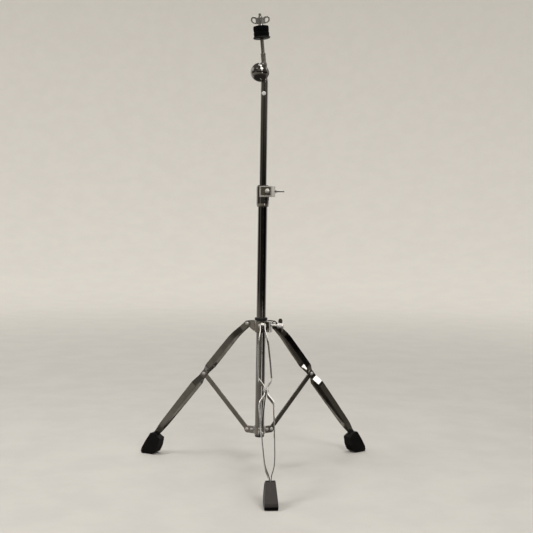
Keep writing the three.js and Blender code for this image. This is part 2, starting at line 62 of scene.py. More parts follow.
# ------------------------------------------------------------------ sizes, as in the CAD
BASE_R, BASE_Z0, BASE_Z1 = 12.7, 90, 722
UP_R, UP_Z0, UP_Z1 = 9.525, 530, 1026
HINGE, KNEE, MID, PIVOT = (38, 387.5), (77.3, 352.9), (169.5, 241.4), (36, 102)
BOW = [(-8, 6.3), (22, 6.3), (48, 11.1), (62, 12.8), (116, 15.2), (168, 16.3), (188, 3.3), (210, 3.3),
       (232, 18.2), (300, 16.4), (375, 13.2), (402, 11.2), (430, 1.4), (456, 1.4)]
COLLAR_Z0, COLLAR_Z1, COLLAR_R, BOLT_AZ, BOLT_Z = 367, 398.4, 17.5, -30, 386.8
CLAMP_AZ, CLAMP_Z0, CLAMP_Z1, CLAMP_R = -34.7, 698.6, 753.5, 17
EAR_Z0, EAR_HALF, EAR_FACE, FRAME_DEEP, EAR_NEAR, EAR_FAR, SLIT = 725, 13, 17.2, 1.2, 36, 31, 1.5
CLAMP_BOLT_S, CLAMP_BOLT_Z = 22.5, 740
RATCHET_AZ, PIVOT_Z, LEAN, CRANK = -139.7, 1049, 2.4, 5.5

# ------------------------------------------------------------------ materials


def nodes_of(name):
    m = bpy.data.materials.new(name)
    m.use_nodes = True
    nt = m.node_tree
    nt.nodes.clear()
    out = nt.nodes.new("ShaderNodeOutputMaterial")
    p = nt.nodes.new("ShaderNodeBsdfPrincipled")
    nt.links.new(p.outputs[0], out.inputs[0])
    return m, nt, p


def coords(nt, scale=(1, 1, 1)):
    c = nt.nodes.new("ShaderNodeTexCoord")
    mp = nt.nodes.new("ShaderNodeMapping")
    mp.inputs["Scale"].default_value = scale
    nt.links.new(c.outputs["Object"], mp.inputs[0])
    return mp.outputs[0]


def noise_tex(nt, vec, scale, detail=4, rough=0.55):
    n = nt.nodes.new("ShaderNodeTexNoise")
    n.inputs["Scale"].default_value = scale
    n.inputs["Detail"].default_value = detail
    n.inputs["Roughness"].default_value = rough
    nt.links.new(vec, n.inputs["Vector"])
    return n.outputs["Fac"]


def ramp(nt, fac, lo, hi, v0, v1):
    r = nt.nodes.new("ShaderNodeMapRange")
    r.interpolation_type = 'SMOOTHSTEP'
    r.inputs["From Min"].default_value = lo
    r.inputs["From Max"].default_value = hi
    r.inputs["To Min"].default_value = v0
    r.inputs["To Max"].default_value = v1
    nt.links.new(fac, r.inputs["Value"])
    return r.outputs["Result"]


def mix_col(nt, fac, a, b):
    m = nt.nodes.new("ShaderNodeMix")
    m.data_type = 'RGBA'
    nt.links.new(fac, m.inputs["Factor"])
    for sock, val in ((m.inputs[6], a), (m.inputs[7], b)):
        if isinstance(val, tuple):
            sock.default_value = (*val, 1)
        else:
            nt.links.new(val, sock)
    return m.outputs[2]


def bump(nt, p, height, strength, dist, prev=None):
    b = nt.nodes.new("ShaderNodeBump")
    b.inputs["Strength"].default_value = strength
    b.inputs["Distance"].default_value = dist
    nt.links.new(height, b.inputs["Height"])
    if prev is not None:
        nt.links.new(prev, b.inputs["Normal"])
    nt.links.new(b.outputs[0], p.inputs["Normal"])
    return b.outputs[0]


def math_node(nt, op, a, b):
    m = nt.nodes.new("ShaderNodeMath")
    m.operation = op
    for i, v in enumerate((a, b)):
        if isinstance(v, (int, float)):
            m.inputs[i].default_value = v
        else:
            nt.links.new(v, m.inputs[i])
    return m.outputs[0]


def chrome(name, colour, dark, rough, streak, wave, pits=0.0, metal=1.0):
    """Plated steel: hazy patches, fine polishing lines along `streak`, slow waviness and a few pits."""
    m, nt, p = nodes_of(name)
    p.inputs["Metallic"].default_value = metal
    v1 = coords(nt)
    v2 = coords(nt, streak)
    haze = noise_tex(nt, v1, 38, 5, 0.6)
    lines = noise_tex(nt, v2, 900, 3, 0.6)
    slow = noise_tex(nt, v1, 26, 2, 0.4)
    spots = noise_tex(nt, v1, 520, 2, 0.5)
    col = mix_col(nt, ramp(nt, haze, 0.40, 0.68, 0, 1), colour, dark)
    if pits:
        col = mix_col(nt, ramp(nt, spots, 0.70, 0.78, 0, pits), col, (0.10, 0.065, 0.04))
    nt.links.new(col, p.inputs["Base Color"])
    r = math_node(nt, 'ADD', ramp(nt, haze, 0.35, 0.75, rough * 0.7, rough * 1.6), ramp(nt, lines, 0.45, 0.7, 0, rough * 0.5))
    nt.links.new(r, p.inputs["Roughness"])
    b = bump(nt, p, lines, 0.05, 0.0002)
    bump(nt, p, slow, wave, 0.004, b)
    return m


def moulded(name, colour, light, rough, scale, depth, sheen=0.0, shine=0.4):
    m, nt, p = nodes_of(name)
    v = coords(nt)
    grain = noise_tex(nt, v, scale, 4, 0.6)
    patch = noise_tex(nt, v, 30, 4, 0.6)
    nt.links.new(mix_col(nt, ramp(nt, patch, 0.42, 0.7, 0, 1), colour, light), p.inputs["Base Color"])
    nt.links.new(ramp(nt, patch, 0.35, 0.7, rough * 0.85, min(1, rough * 1.2)), p.inputs["Roughness"])
    p.inputs["Specular IOR Level"].default_value = shine
    if sheen:
        p.inputs["Sheen Weight"].default_value = sheen
        p.inputs["Sheen Roughness"].default_value = 0.5
    bump(nt, p, grain, 0.35, depth)
    return m


def felt_material():
    m, nt, p = nodes_of("felt_black")
    v = coords(nt)
    fibre = noise_tex(nt, coords(nt, (1, 1, 2.4)), 1400, 6, 0.75)
    clump = noise_tex(nt, v, 260, 4, 0.6)
    lint = noise_tex(nt, v, 2600, 2, 0.5)
    col = mix_col(nt, ramp(nt, clump, 0.35, 0.7, 0, 1), (0.0012, 0.0012, 0.0015), (0.004, 0.0038, 0.0042))
    col = mix_col(nt, ramp(nt, lint, 0.70, 0.80, 0, 0.3), col, (0.05, 0.047, 0.044))
    nt.links.new(col, p.inputs["Base Color"])
    p.inputs["Roughness"].default_value = 0.95
    p.inputs["Specular IOR Level"].default_value = 0.08
    p.inputs["Sheen Weight"].default_value = 0.015
    p.inputs["Sheen Roughness"].default_value = 0.6
    b = bump(nt, p, clump, 0.5, 0.0008)
    bump(nt, p, fibre, 0.8, 0.0005, b)
    return m


MAT = {
    "tube": chrome("chrome_tube", (0.56, 0.545, 0.52), (0.50, 0.485, 0.46), 0.07, (1, 1, 0.02), 0.02, 0.5),
    "strip": chrome("chrome_strip", (0.50, 0.485, 0.455), (0.42, 0.405, 0.375), 0.10, (0.3, 0.3, 0.3), 0.06, 0.7),
    "cast": chrome("chrome_cast", (0.64, 0.615, 0.57), (0.52, 0.495, 0.45), 0.10, (1, 1, 1), 0.06, 0.5, 0.97),
    "rod": chrome("rod_steel", (0.66, 0.625, 0.575), (0.54, 0.51, 0.46), 0.12, (1, 1, 0.05), 0.04, 0.5, 0.92),
    "neck": chrome("neck_casting", (0.68, 0.65, 0.60), (0.55, 0.525, 0.475), 0.13, (1, 1, 1), 0.06, 0.5, 0.90),
    # painted highlight: lighter metal on the clamp's raised rim and ear end
    "rim": chrome("painted_highlight_rim", (0.80, 0.77, 0.71), (0.66, 0.63, 0.57), 0.16, (1, 1, 1), 0.06, 0.5, 0.50),
    "nut": chrome("chrome_nut", (0.74, 0.72, 0.68), (0.60, 0.58, 0.54), 0.11, (1, 1, 1), 0.06, 0.5, 0.88),
    "dome": chrome("chrome_dome", (0.55, 0.535, 0.51), (0.48, 0.465, 0.44), 0.06, (1, 1, 1), 0.10, 0.4),
    # painted shade: near-black washer standing in for its dark reflections
    "disc": moulded("painted_shade_washer", (0.022, 0.0195, 0.017), (0.034, 0.030, 0.026), 0.50, 900, 0.0001, 0.0, 0.20),
    "rivet": chrome("rivet_steel", (0.84, 0.81, 0.78), (0.68, 0.65, 0.61), 0.22, (1, 1, 1), 0.04, 0.5, 0.55),
    # also a painted highlight on the strips' upper edges at the folds
    "screw": chrome("plated_screw", (0.90, 0.875, 0.83), (0.74, 0.71, 0.66), 0.20, (1, 1, 1), 0.05, 0.5, 0.48),
    # the pin's lighter plating, and a painted highlight where it lies on the wing bolt's hub
    "satin_lit": chrome("satin_lit_plate", (0.90, 0.87, 0.84), (0.78, 0.75, 0.71), 0.20, (1, 1, 1), 0.04, 0.4, 0.30),
    # painted shade: darker metal on the bows' upper strip edges
    "shaded_edge": chrome("painted_shade_edge", (0.095, 0.085, 0.075), (0.06, 0.052, 0.045), 0.20, (1, 1, 1), 0.05, 0.5),
    # painted shade: darker metal on the wing bolt's wings
    "wing": chrome("painted_shade_wings", (0.26, 0.24, 0.21), (0.19, 0.17, 0.145), 0.17, (1, 1, 1), 0.06, 0.5),
    # painted shade: darker metal in the clamp's sunk panel
    "panel": chrome("painted_shade_panel", (0.17, 0.155, 0.115), (0.12, 0.11, 0.08), 0.30, (1, 1, 1), 0.10, 0.5, 0.6),
    "nylon": moulded("nylon_black", (0.012, 0.012, 0.013), (0.022, 0.021, 0.021), 0.42, 900, 0.0002),
    "rubber": moulded("rubber_black", (0.006, 0.0055, 0.0053), (0.011, 0.0098, 0.0094), 0.44, 1300, 0.0003, 0.0, 0.22),
    # painted light: lighter rubber on the boots' sloped tops, lit from above
    "rubber_top": moulded("painted_lit_rubber", (0.034, 0.0285, 0.027), (0.050, 0.042, 0.039), 0.46, 1300, 0.0003, 0.0),
    "felt": felt_material(),
}

# ------------------------------------------------------------------ mesh helpers


def mesh_object(name, verts, faces, matrix=Matrix.Identity(4)):
    me = bpy.data.meshes.new(name)
    me.from_pydata([tuple((matrix @ Vector(v)) * MM) for v in verts], [], faces)
    bm = bmesh.new()
    bm.from_mesh(me)
    bmesh.ops.remove_doubles(bm, verts=bm.verts, dist=1e-7)
    bmesh.ops.recalc_face_normals(bm, faces=bm.faces)
    bm.to_mesh(me)
    bm.free()
    o = bpy.data.objects.new(name, me)
    bpy.context.scene.collection.objects.link(o)
    return o


def bake(o):
    """Applies an object's modifiers."""
    bpy.context.view_layer.update()
    dg = bpy.context.evaluated_depsgraph_get()
    me = bpy.data.meshes.new_from_object(o.evaluated_get(dg))
    o.modifiers.clear()
    o.data = me
    return o


def bevel(o, width, segments=2, angle=30):
    b = o.modifiers.new("bevel", 'BEVEL')
    b.width = width * MM
    b.segments = segments
    b.limit_method = 'ANGLE'
    b.angle_limit = rad(angle)
    b.miter_outer = 'MITER_ARC'
    return bake(o)


def boolean(o, others, op):
    for t in others:
        m = o.modifiers.new("bool", 'BOOLEAN')
        m.operation = op
        m.solver = 'MANIFOLD'
        m.object = t
        bake(o)
        bpy.data.objects.remove(t)
    bm = bmesh.new()
    bm.from_mesh(o.data)
    loose = sum(1 for e in bm.edges if not e.is_manifold)
    bm.free()
    if loose or not len(o.data.polygons):
        raise RuntimeError(f"{o.name}: the joined or cut shape is open ({loose} edges)")
    return o


def soften(o, voxel, rounds, keep=0.5):
    """Melts the edges of a casting: an even skin, relaxed a little, then thinned out."""
    r = o.modifiers.new("skin", 'REMESH')
    r.mode = 'VOXEL'
    r.voxel_size = voxel * MM
    bake(o)
    s = o.modifiers.new("relax", 'SMOOTH')
    s.factor = 0.5
    s.iterations = rounds
    d = o.modifiers.new("thin", 'DECIMATE')
    d.ratio = keep
    return bake(o)


def fillet(points, r, n=4, closed=False):
    """Rounds the corners of a polyline; a point may carry its own radius as a third number."""
    out, count = [], len(points)
    for i, p in enumerate(points):
        rr = p[2] if len(p) > 2 else r
        if (not closed and i in (0, count - 1)) or rr <= 0:
            out.append((p[0], p[1]))
            continue
        a, b, c = Vector(points[i - 1][:2]), Vector(p[:2]), Vector(points[(i + 1) % count][:2])
        u, v = (a - b), (c - b)
        la, lc = u.length, v.length
        if la < 1e-6 or lc < 1e-6:
            out.append((p[0], p[1]))
            continue
        u, v = u / la, v / lc
        ang = u.angle(v)
        if ang > rad(172):
            out.append((p[0], p[1]))
            continue
        d = min(rr / math.tan(ang / 2), la * 0.45, lc * 0.45)
        p0, p2 = b + u * d, b + v * d
        for k in range(n + 1):
            t = k / n
            q = p0 * (1 - t) ** 2 + b * 2 * t * (1 - t) + p2 * t * t
            out.append((q.x, q.y))
    return out


def lathe(name, profile, matrix, seg=64, r=0.4, n=3, closed=False):
    prof = fillet(profile, r, n, closed)
    verts, rings = [], []
    for (x, z) in prof:
        if x < 1e-6:
            verts.append((0, 0, z))
            rings.append([len(verts) - 1] * seg)
        else:
            base = len(verts)
            verts += [(x * math.cos(2 * math.pi * k / seg), x * math.sin(2 * math.pi * k / seg), z) for k in range(seg)]
            rings.append(list(range(base, base + seg)))
    faces = []
    last = len(rings) if closed else len(rings) - 1
    for i in range(last):
        a, b = rings[i], rings[(i + 1) % len(rings)]
        for k in range(seg):
            q = [a[k], a[(k + 1) % seg], b[(k + 1) % seg], b[k]]
            q = [v for j, v in enumerate(q) if v != q[j - 1]]
            if len(q) > 2:
                faces.append(q)
    return mesh_object(name, verts, faces, matrix)


def prism(name, outline, z0, z1, matrix):
    n = len(outline)
    verts = [(x, y, z0) for x, y in outline] + [(x, y, z1) for x, y in outline]
    faces = [list(range(n))[::-1], list(range(n, 2 * n))]
    faces += [[i, (i + 1) % n, n + (i + 1) % n, n + i] for i in range(n)]
    return mesh_object(name, verts, faces, matrix)


def cheek(name, outline, y0, y1, matrix):
    """Outline in the leg's plane (outwards, up), thick across it."""
    return prism(name, outline, -y1, -y0, matrix @ rx(90))


def cyl(name, r, z0, z1, matrix, seg=48):
    return lathe(name, [(0, z0), (r, z0), (r, z1), (0, z1)], matrix, seg, 0)


def block(name, x0, x1, y0, y1, z0, z1, matrix):
    return prism(name, [(x0, y0), (x1, y0), (x1, y1), (x0, y1)], z0, z1, matrix)


def arc(cx, cy, r, a0, a1, n):
    return [(cx + r * math.cos(rad(a0 + (a1 - a0) * i / n)), cy + r * math.sin(rad(a0 + (a1 - a0) * i / n))) for i in range(n + 1)]


def threaded(name, r, depth, pitch, z0, z1, matrix, seg=36, tip=0.8, back=None):
    """Screw thread with a chamfered end at z1."""
    step = pitch / 8
    count = max(2, int((z1 - z0) / step))
    verts, faces = [], []
    for i in range(count + 1):
        z = z0 + (z1 - z0) * i / count
        for k in range(seg):
            f = ((z - z0) / pitch - k / seg) % 1
            rr = r - depth * (abs(2 * f - 1) ** 1.3)
            rr = min(rr, r - tip + (z1 - z) * 0.9) if z1 - z < tip else rr
            a = 2 * math.pi * k / seg
            verts.append((rr * math.cos(a), rr * math.sin(a), z))
    for i in range(count):
        for k in range(seg):
            a, b = i * seg + k, i * seg + (k + 1) % seg
            faces.append([a, b, b + seg, a + seg])
    faces.append(list(range(seg))[::-1])
    faces.append(list(range(count * seg, (count + 1) * seg)))
    return mesh_object(name, verts, faces, matrix)


def join(name, objs):
    bm = bmesh.new()
    for o in objs:
        bm.from_mesh(o.data)
        bpy.data.objects.remove(o)
    me = bpy.data.meshes.new(name)
    bm.to_mesh(me)
    bm.free()
    o = bpy.data.objects.new(name, me)
    bpy.context.scene.collection.objects.link(o)
    return o


def done(o, kind, body, *nodes, sharp=32, name=None, even=False, paint=None):
    """Smooth shading with crisp folds and true flats, material, place and what it stands for."""
    if name:
        o.name = name
    for poly in o.data.polygons:
        poly.use_smooth = True
    o.data.set_sharp_from_angle(angle=rad(sharp))
    if not even:
        # wide faces keep their own direction, and the small edge roundings take the bend
        w = o.modifiers.new("flats", 'WEIGHTED_NORMAL')
        w.mode = 'FACE_AREA'
        w.weight = 60
        w.keep_sharp = True
        bake(o)
    me = o.data
    me.materials.clear()
    me.materials.append(MAT[kind])
    for poly in me.polygons:
        poly.material_index = 0
    if paint:
        kinds, choose = paint
        for k in kinds:
            me.materials.append(MAT[k])
        for poly in me.polygons:
            poly.material_index = choose(poly)
    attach(o, body)
    if nodes:
        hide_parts(*nodes)
    return o


# ------------------------------------------------------------------ camera, fitted to the photograph
def camera():
    right = Vector((0.99988479, -0.00425551, 0.01457019))
    up = Vector((-0.0143235, 0.05316394, 0.99848307))
    ahead = Vector((0.00502366, 0.99857673, -0.05309686))
    turn = rz(-4.72)
    m = Matrix.Identity(4)
    for i, v in enumerate((right, up, -ahead)):
        w = (turn @ v).normalized()
        for j in range(3):
            m[j][i] = w[j]
    p = (TOWER @ turn) @ Vector((0, -2426.17, 670.36))
    for j in range(3):
        m[j][3] = p[j] * MM
    cd = bpy.data.cameras.new("camera")
    cd.sensor_width = 36
    cd.lens = 36 * 916.4 / 533
    cd.clip_end = 60
    c = bpy.data.objects.new("camera", cd)
    bpy.context.scene.collection.objects.link(c)
    c.matrix_world = m
    bpy.context.scene.camera = c


camera()

# ------------------------------------------------------------------ base tube and its plug
done(lathe("lower_tube", [(11.5, BASE_Z0), (BASE_R, BASE_Z0), (BASE_R, BASE_Z1), (11.5, BASE_Z1)], TOWER, 96, 0.4, 3, True),
     "tube", "base", "base_tube")
done(lathe("tube_end_plug", [(0, 85.5), (11.6, 85.5), (12.7, 86.6), (12.7, 89.7), (11.1, 89.7), (11.1, 108), (9, 108), (9, 91.5), (0, 91.5)],
           TOWER, 64, 0.5), "nylon", "base", "base_tube_plug")

# ------------------------------------------------------------------ lower collar: three pressed plates


def collar_plate(name, az):
    rin, t = BASE_R + 0.3, 2.0
    mid, off = rin + t / 2, 2.0 + t / 2
    a0 = math.degrees(math.asin(off / mid)) + 9
    path = [(44, off), (38, off), (30, off), (22, off), (mid + 3.2, off), (mid + 1.0, off + 0.5)]
    path = path[:-1] + [(math.cos(rad(a)) * mid, math.sin(rad(a)) * mid) for a in [a0 + (120 - 2 * a0) * i / 28 for i in range(29)]]
    other = [(x * math.cos(rad(120)) + y * math.sin(rad(120)), x * math.sin(rad(120)) - y * math.cos(rad(120))) for x, y in
             [(mid + 3.2, off), (22, off), (30, off), (38, off), (44, off)]]
    path += other
    # finer stations along the lugs, for their rounded ends
    fine = []
    for i in range(len(path) - 1):
        a, b = Vector(path[i]), Vector(path[i + 1])
        k = max(1, int((b - a).length / 1.0))
        fine += [a.lerp(b, j / k) for j in range(k)]
    fine.append(Vector(path[-1]))

    def span(p):
        # distance from the tube axis along the nearer lug decides the plate's height there
        rr = max(p.x, p.x * math.cos(rad(120)) + p.y * math.sin(rad(120)))
        if p.length < 18:
            return 93, 113
        e = max(0.0, rr - 35)
        lo = 93 + 9 - math.sqrt(max(0.0, 81 - min(e, 9) ** 2))
        hi_flat = 113 - max(0.0, (rr - 30)) * 0.45
        hi = min(hi_flat, 102 + math.sqrt(max(0.0, 81 - min(e, 9) ** 2)))
        return lo, max(hi, lo + 0.8)
    verts, faces = [], []
    for i, p in enumerate(fine):
        d = (fine[min(i + 1, len(fine) - 1)] - fine[max(i - 1, 0)]).normalized()
        nrm = Vector((-d.y, d.x))
        lo, hi = span(p)
        c = 0.45
        for (w, z) in [(-1, lo + c), (-1 + c, lo), (1 - c, lo), (1, lo + c), (1, hi - c), (1 - c, hi), (-1 + c, hi), (-1, hi - c)]:
            q = p + nrm * w * t / 2
            verts.append((q.x, q.y, z))
    n = 8
    for i in range(len(fine) - 1):
        for k in range(n):
            a, b = i * n + k, i * n + (k + 1) % n
            faces.append([a, b, b + n, a + n])
    faces.append(list(range(n)))
    faces.append(list(range((len(fine) - 1) * n, len(fine) * n))[::-1])
    return mesh_object(name, verts, faces, TOWER @ rz(az))


for key, az in (("a", -90), ("b", 30), ("c", 150)):
    done(collar_plate(f"pressed_plate_{key}", az), "cast", "base", f"strut_collar_plate_{key}", sharp=40)


def rivet(name, h, at, az, head, dome, shank=3.0):
    prof = [(0, -h - dome)] + [(head * math.sin(rad(a)), -h - dome * math.cos(rad(a)), 0) for a in (15, 30, 45, 60, 75, 90)]
    prof += [(shank, -h, 0), (shank, h, 0)] + [(head * math.sin(rad(a)), h + dome * math.cos(rad(a)), 0) for a in (90, 75, 60, 45, 30, 15)]
    prof += [(0, h + dome)]
    return lathe(name, prof, TOWER @ rz(az) @ tr(at[0], 0, at[1]) @ rx(90), 32, 0)


for leg, az in LEG_AZ.items():
    done(rivet(f"plate_rivet_{leg}", 4.3, (22, 103), az, 4.2, 1.8), "rivet", "base", f"strut_collar_rivet_{leg}")
    done(rivet(f"pivot_rivet_{leg}", 4.3, PIVOT, az, 4.8, 2.4), "rivet", "base", f"strut_pivot_rivet_{leg}")
    done(rivet(f"hinge_rivet_{leg}", 7.8, HINGE, az, 5.0, 2.6), "rivet", "leg_collar", f"leg_hinge_rivet_{leg}")

# ------------------------------------------------------------------ struts
S_DIR = math.degrees(math.atan2(MID[1] - PIVOT[1], MID[0] - PIVOT[0]))
for leg, az in LEG_AZ.items():
    outline = arc(MID[0], MID[1], 6.5, S_DIR - 90, S_DIR + 90, 20) + arc(PIVOT[0], PIVOT[1], 6.5, S_DIR + 90, S_DIR + 270, 20)
    o = cheek(f"flat_strut_{leg}", outline, -1.5, 1.5, TOWER @ rz(az))
    bevel(o, 0.55, 3, 50)
    boolean(o, [cyl("hole", 3.3, -6, 6, TOWER @ rz(az) @ tr(PIVOT[0], 0, PIVOT[1]) @ rx(90), 32)], 'DIFFERENCE')
    done(o, "strip", f"strut_{leg}", f"strut_{leg}")

# ------------------------------------------------------------------ legs
L1 = math.dist(HINGE, KNEE)
L2 = math.dist(KNEE, MID)
U1 = ((KNEE[0] - HINGE[0]) / L1, (KNEE[1] - HINGE[1]) / L1)
U2 = ((MID[0] - KNEE[0]) / L2, (MID[1] - KNEE[1]) / L2)
BEND = 14


def spine(s):
    if s < L1 - BEND:
        return HINGE[0] + U1[0] * s, HINGE[1] + U1[1] * s, -U1[1], U1[0]
    if s > L1 + BEND:
        t = s - L1
        return KNEE[0] + U2[0] * t, KNEE[1] + U2[1] * t, -U2[1], U2[0]
    t = (s - (L1 - BEND)) / (2 * BEND)
    a = (KNEE[0] - U1[0] * BEND, KNEE[1] - U1[1] * BEND)
    c = (KNEE[0] + U2[0] * BEND, KNEE[1] + U2[1] * BEND)
    q = [(1 - t) ** 2 * a[i] + 2 * t * (1 - t) * KNEE[i] + t * t * c[i] for i in (0, 1)]
    dx, dz = (1 - t) * U1[0] + t * U2[0], (1 - t) * U1[1] + t * U2[1]
    l = math.hypot(dx, dz)
    return q[0], q[1], -dz / l, dx / l


def bow_path():
    """The strip's middle line (along the leg, across it), its folds rounded, sampled finely."""
    pts = []
    for i, p in enumerate(BOW):
        if i in (0, len(BOW) - 1):
            pts.append(p)
            continue
        a, b, c = Vector(BOW[i - 1]), Vector(p), Vector(BOW[i + 1])
        turn = (b - a).angle(c - b)
        d = min(4.0 if turn > rad(20) else 2.5 if p[0] < 50 else 14.0, (b - a).length * 0.46, (c - b).length * 0.46)
        p0, p2 = b + (a - b).normalized() * d, b + (c - b).normalized() * d
        for k in range(7):
            t = k / 6
            q = p0 * (1 - t) ** 2 + b * 2 * t * (1 - t) + p2 * t * t
            pts.append((q.x, q.y))
    fine = []
    for i in range(len(pts) - 1):
        a, b = Vector(pts[i]), Vector(pts[i + 1])
        k = max(1, int((b - a).length / 4.0))
        if b.x <= 23:
            k = max(k, int((b - a).length / 0.8))
        fine += [a.lerp(b, j / k) for j in range(k)]
    fine.append(Vector(pts[-1]))
    return fine


PATH = bow_path()


def strip(name, side, az):
    t, w, c = 1.2, 8.0, 0.55
    sect = []
    for (sx, sy) in ((1, 1), (-1, 1), (-1, -1), (1, -1)):
        for a in (0, 30, 60, 90):
            ang = {(1, 1): a, (-1, 1): 90 + a, (-1, -1): 180 + a, (1, -1): 270 + a}[(sx, sy)]
            sect.append((sx, sy, math.cos(rad(ang)), math.sin(rad(ang))))
    verts, faces = [], []
    n = len(sect)
    for i, p in enumerate(PATH):
        d = (PATH[min(i + 1, len(PATH) - 1)] - PATH[max(i - 1, 0)]).normalized()
        nrm = Vector((-d.y, d.x))
        half = w if p.x >= 0 else max(1.2, math.sqrt(max(0.0, 64 - p.x * p.x)))
        for (sx, sy, cx, cy) in sect:
            ww = sx * (half - c) + cx * c
            kk = sy * (t - c) + cy * c
            q = p + nrm * kk
            r, z, nr, nz = spine(q.x)
            verts.append((r + nr * ww, side * q.y, z + nz * ww))
    for i in range(len(PATH) - 1):
        for k in range(n):
            a, b = i * n + k, i * n + (k + 1) % n
            faces.append([a, b, b + n, a + n])
    faces.append(list(range(n)))
    faces.append(list(range((len(PATH) - 1) * n, len(PATH) * n))[::-1])
    o = mesh_object(name, verts, faces, TOWER @ rz(az))
    return boolean(o, [cyl("hole", 3.3, -20, 20, TOWER @ rz(az) @ tr(HINGE[0], 0, HINGE[1]) @ rx(90), 32)], 'DIFFERENCE')


def strip_faces(poly, back, turn):
    """1: the bow's upper edge, painted shade (darker metal); 2: the same edge at the folds, painted highlight (bright
    screw metal).
    """
    c, n = back @ (poly.center / MM), turn @ poly.normal
    if n.z * U2[0] - n.x * U2[1] < 0.5:
        return 0
    s = L1 + (c.x - KNEE[0]) * U2[0] + (c.z - KNEE[1]) * U2[1]
    if 54 < s < 166:
        return 1
    return 2 if 209 < s < 234 else 0


BOOT = [(304, 46, 2), (325, 60.5, 3), (335.5, 59.5, 2.5), (350.5, 36, 8), (361, 16, 4), (363.5, 8, 2), (362.2, 1.4, 1), (357, 0, 1), (329, 0, 1),
        (319, 6, 3), (310, 23, 4)]
LEG_SLOPE = math.degrees(math.atan2(-U2[1], U2[0]))


def boot(name, az):
    place = TOWER @ rz(az)
    o = cheek("boot_side", fillet(BOOT, 2, 4, True), -16.5, 16.5, place)
    taper = fillet([(-15.4, -1, 0), (-16.2, 6, 3), (-15.6, 20, 8), (-11.2, 62, 0), (11.2, 62, 0), (15.6, 20, 8), (16.2, 6, 3), (15.4, -1, 0)], 2, 4, True)
    wedge = prism("wedge", taper, 290, 370, place @ rz(90) @ rx(90))
    boolean(o, [wedge], 'INTERSECT')
    bevel(o, 2.2, 4, 38)
    c = spine(430)
    along = place @ tr(c[0], 0, c[1]) @ ry(LEG_SLOPE)
    cuts = [block("pocket", -40, 27.5, -3.1, 3.1, -8.5, 8.5, along),
            # sunk top, leaving a rim
            block("well", -40, 3.4, -9.0, 9.0, -10.8, 10.8, along)]
    # two grooves round the sole
    for z in (5.0, 9.6):
        cuts.append(block("groove", 357.6, 372, -20, 20, z - 0.5, z + 0.5, place))
    boolean(o, cuts, 'DIFFERENCE')
    o.name = name
    return o


for leg, az in LEG_AZ.items():
    back = (TOWER @ rz(az)).inverted()
    turned = back.to_3x3()
    for key, side in (("a", 1), ("b", -1)):
        # the bows' upper edges get painted shade, the folds' upper edges a painted highlight
        done(strip(f"bowed_strip_{leg}_{key}", side, az), "strip", f"leg_{leg}", f"leg_{leg}_strip_{key}", sharp=28,
             paint=(("shaded_edge", "screw"), lambda poly, b=back, t=turned: strip_faces(poly, b, t)))
        out = 3.3 + 1.2
        face = out + 0.3
        prof = [(0, out - 2.1), (3, out - 2.1, 0), (3, face, 0)] + [(5 * math.cos(rad(a)), face + 2.6 * math.sin(rad(a)), 0) for a in (0, 18, 36, 54, 72)] + [(0, face + 2.6)]
        done(lathe(f"pinch_rivet_{leg}_{key}", prof, TOWER @ rz(az) @ tr(MID[0], 0, MID[1]) @ rx(-90 * side), 32, 0),
             "rivet", f"leg_{leg}", f"leg_{leg}_rivet_{key}")
    # the boots' sloped tops get a lighter rubber: painted light from above
    done(boot(f"rubber_boot_{leg}", az), "rubber", f"leg_{leg}", f"leg_{leg}_foot", sharp=40,
         paint=(("rubber_top",), lambda poly, t=turned: 1 if (t @ poly.normal).dot(Vector((0.80, 0, 0.60))) > 0.93 else 0))

# ------------------------------------------------------------------ sliding leg collar


def leg_collar():
    o = lathe("sliding_collar", [(0, COLLAR_Z0), (COLLAR_R - 0.8, COLLAR_Z0), (COLLAR_R, COLLAR_Z0 + 1), (COLLAR_R, COLLAR_Z1 - 2),
                                 (COLLAR_R - 1.2, COLLAR_Z1), (0, COLLAR_Z1)], TOWER, 72, 0.6)
    lug = [(6, COLLAR_Z0 + 1), (20, COLLAR_Z0 + 2), (34, 379)] + arc(HINGE[0], HINGE[1], 8.5, -65, 75, 14) + [(26, COLLAR_Z1 - 0.8), (6, COLLAR_Z1 - 0.8)]
    boss = [(6, -8.5), (27, -8.5), (30.5, -5.5), (30.5, 5.5), (27, 8.5), (6, 8.5)]
    parts = [cheek("lug", lug, -4.8, 4.8, TOWER @ rz(az)) for az in LEG_AZ.values()]
    parts.append(prism("boss", boss, COLLAR_Z0 + 1.2, COLLAR_Z1 - 2.4, TOWER @ rz(BOLT_AZ)))
    boolean(o, parts, 'UNION')
    cuts = [cyl("bore", 14.95, 300, 450, TOWER, 72), cyl("bolt_bore", 3.5, 6, 60, TOWER @ rz(BOLT_AZ) @ tr(0, 0, BOLT_Z) @ ry(90), 32)]
    boolean(o, cuts, 'DIFFERENCE')
    return soften(o, 0.5, 4, 0.35)


done(leg_collar(), "cast", "leg_collar", "leg_collar", sharp=60, even=True)
done(lathe("collar_liner", [(13.05, COLLAR_Z0 - 1), (14.6, COLLAR_Z0 - 1), (14.6, COLLAR_Z1 + 0.3), (17, COLLAR_Z1 + 0.3), (17, 404.4), (16, 405.4), (13.05, 405.4)],
           TOWER, 72, 0.35, 3, True), "nylon", "leg_collar", "leg_collar_bush")


